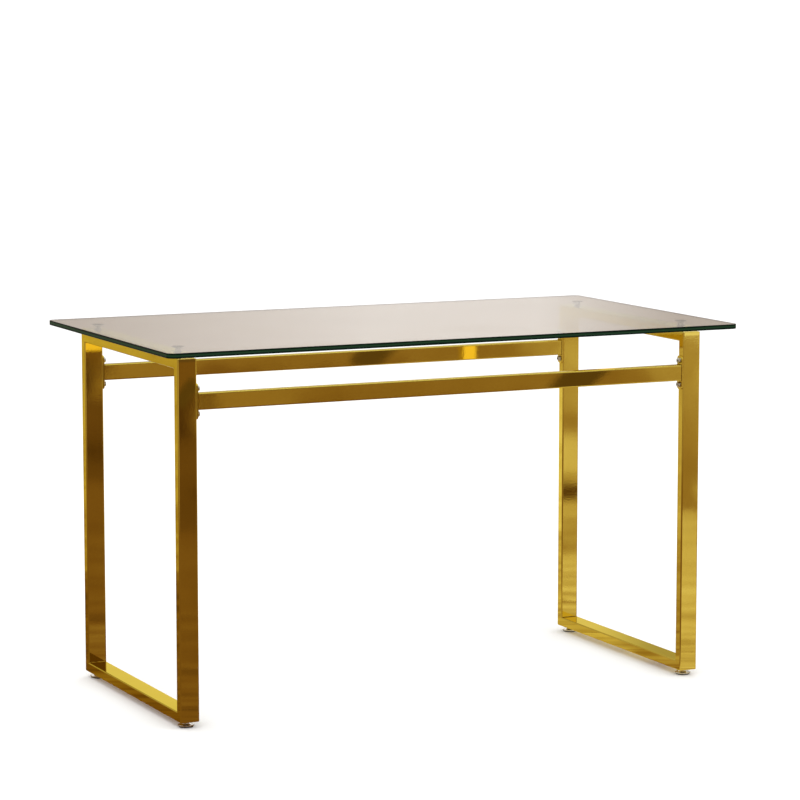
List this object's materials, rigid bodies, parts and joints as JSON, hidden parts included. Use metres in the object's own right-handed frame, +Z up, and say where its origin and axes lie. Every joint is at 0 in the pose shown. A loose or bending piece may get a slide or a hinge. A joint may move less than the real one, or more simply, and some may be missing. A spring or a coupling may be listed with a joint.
{
  "type": "glass-topped table",
  "caption": "Long glass-topped table on two closed rectangular gold-plated tube frames, tied by bolted rails, with screw-in levelling feet.",
  "frame": {"origin": "on the floor, under the middle of the table", "axes": "+X along the table's length, -Y its front, +Z up"},
  "size_m": [1.262, 0.695, 0.75],
  "materials": {
    "glass": "clear float glass, polished edge that looks dark green",
    "gold": "mirror-polished gold plating on steel tube",
    "zinc": "bright zinc plating",
    "nickel": "bright nickel plating",
    "dark_rubber": "dark moulded sole",
    "clear_pad": "clear soft pad"
  },
  "bodies": {
    "frame_and_glass": {"glass_top": "glass", "front_rail": "gold", "back_rail": "gold", "left_front_leg": "gold", "left_back_leg": "gold", "left_top_bar": "gold", "left_bottom_bar": "gold", "left_front_pad": "clear_pad", "left_back_pad": "clear_pad", "right_front_leg": "gold", "right_back_leg": "gold", "right_top_bar": "gold", "right_bottom_bar": "gold", "right_front_pad": "clear_pad", "right_back_pad": "clear_pad", "front_left_end_plate": "gold", "front_left_upper_bolt": "zinc", "front_left_upper_nut": "zinc", "front_left_lower_bolt": "zinc", "front_left_lower_nut": "zinc", "front_left_foot_insert": "zinc", "front_right_end_plate": "gold", "front_right_upper_bolt": "zinc", "front_right_upper_nut": "zinc", "front_right_lower_bolt": "zinc", "front_right_lower_nut": "zinc", "front_right_foot_insert": "zinc", "back_left_end_plate": "gold", "back_left_upper_bolt": "zinc", "back_left_upper_nut": "zinc", "back_left_lower_bolt": "zinc", "back_left_lower_nut": "zinc", "back_left_foot_insert": "zinc", "back_right_end_plate": "gold", "back_right_upper_bolt": "zinc", "back_right_upper_nut": "zinc", "back_right_lower_bolt": "zinc", "back_right_lower_nut": "zinc", "back_right_foot_insert": "zinc"},
    "front_left_foot": {"front_left_foot_cup": "nickel", "front_left_foot_sole": "dark_rubber", "front_left_foot_stud": "zinc"},
    "front_right_foot": {"front_right_foot_cup": "nickel", "front_right_foot_sole": "dark_rubber", "front_right_foot_stud": "zinc"},
    "back_left_foot": {"back_left_foot_cup": "nickel", "back_left_foot_sole": "dark_rubber", "back_left_foot_stud": "zinc"},
    "back_right_foot": {"back_right_foot_cup": "nickel", "back_right_foot_sole": "dark_rubber", "back_right_foot_stud": "zinc"}
  },
  "joints": [
    {"name": "front_left_foot_travel", "type": "slide", "parent": "frame_and_glass", "child": "front_left_foot", "axis": [0, 0, -1], "range_m": [0, 0.008]},
    {"name": "front_right_foot_travel", "type": "slide", "parent": "frame_and_glass", "child": "front_right_foot", "axis": [0, 0, -1], "range_m": [0, 0.008]},
    {"name": "back_left_foot_travel", "type": "slide", "parent": "frame_and_glass", "child": "back_left_foot", "axis": [0, 0, -1], "range_m": [0, 0.008]},
    {"name": "back_right_foot_travel", "type": "slide", "parent": "frame_and_glass", "child": "back_right_foot", "axis": [0, 0, -1], "range_m": [0, 0.008]}
  ]
}
